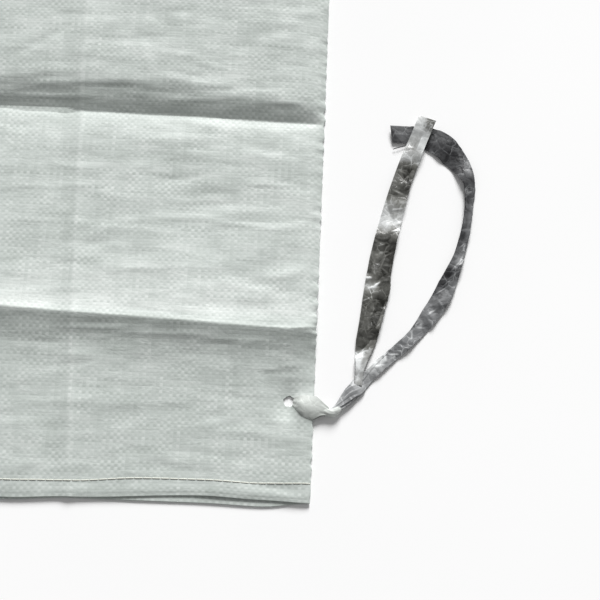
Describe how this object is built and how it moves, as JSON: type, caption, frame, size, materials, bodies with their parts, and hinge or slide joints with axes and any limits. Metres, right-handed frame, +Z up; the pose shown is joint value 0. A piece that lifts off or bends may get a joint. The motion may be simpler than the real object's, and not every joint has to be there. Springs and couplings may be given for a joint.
{
  "type": "woven plastic sack",
  "caption": "Flat woven polypropylene sack with a hemmed open mouth, a sewn bottom, pressed fold creases and a thin film tie looped through a hole beside the mouth.",
  "frame": {"origin": "under the middle of the empty sack, on the surface that it lies on; the tie is left out of the box", "axes": "+X across the sack towards the side with the tie, +Y along the sack from its open mouth to its sewn bottom, +Z up from the surface that it lies on"},
  "size_m": [0.67, 0.95, 0.0083],
  "materials": {
    "woven_cloth": "woven flat polypropylene tape, slightly translucent, soft satin",
    "sewing_thread": "cream spun thread, matt",
    "tie_film": "crinkled clear grey polyethylene film, glossy"
  },
  "bodies": {
    "sack_mouth": {"mouth_back_panel": "woven_cloth", "mouth_left_fold": "woven_cloth", "mouth_right_fold": "woven_cloth", "mouth_left_margin": "woven_cloth", "mouth_right_margin": "woven_cloth", "mouth_crease_band": "woven_cloth", "margin_hems": "woven_cloth", "back_hem": "woven_cloth", "back_hem_thread": "sewing_thread"},
    "sack_middle": {"middle_front_panel": "woven_cloth", "middle_back_panel": "woven_cloth", "middle_left_fold": "woven_cloth", "middle_right_fold": "woven_cloth"},
    "sack_main": {"main_front_panel": "woven_cloth", "main_back_panel": "woven_cloth", "main_left_fold": "woven_cloth", "main_right_fold": "woven_cloth", "bottom_back_layer": "woven_cloth", "bottom_front_layer": "woven_cloth", "bottom_left_corner": "woven_cloth", "bottom_right_corner": "woven_cloth", "bottom_turned_end": "woven_cloth", "bottom_needle_thread": "sewing_thread", "bottom_looper_thread": "sewing_thread"},
    "mouth_flap": {"mouth_front_panel": "woven_cloth", "front_hem": "woven_cloth", "front_hem_thread": "sewing_thread"},
    "tie_base": {"tie_loop": "tie_film", "tie_knot": "tie_film", "tie_neck": "tie_film"},
    "tie_right": {"tie_tail_right": "tie_film"},
    "tie_left": {"tie_tail_left": "tie_film"}
  },
  "joints": [
    {"name": "first_crease", "type": "hinge", "parent": "sack_mouth", "child": "sack_middle", "pos_m": [0, -0.34, 0.0074], "axis": [1, 0, 0], "range_deg": [0, 90]},
    {"name": "second_crease", "type": "hinge", "parent": "sack_middle", "child": "sack_main", "pos_m": [0, -0.17, 0.0074], "axis": [1, 0, 0], "range_deg": [0, 90]},
    {"name": "mouth_open", "type": "hinge", "parent": "sack_mouth", "child": "mouth_flap", "pos_m": [0, -0.348, 0.0072], "axis": [-1, 0, 0], "range_deg": [0, 30]},
    {"name": "tie_swing", "type": "hinge", "parent": "sack_mouth", "child": "tie_base", "pos_m": [0.257, -0.399, 0.004], "axis": [0, 0, 1], "range_deg": [-20, 8]},
    {"name": "tie_lift", "type": "hinge", "parent": "tie_base", "child": "tie_right", "pos_m": [0.306, -0.386, 0.0014], "axis": [1, 0, 0], "range_deg": [0, 60]},
    {"name": "left_tail_lift", "type": "hinge", "parent": "tie_right", "child": "tie_left", "pos_m": [0.306, -0.386, 0.0014], "axis": [1, 0, 0], "range_deg": [0, 30]}
  ]
}
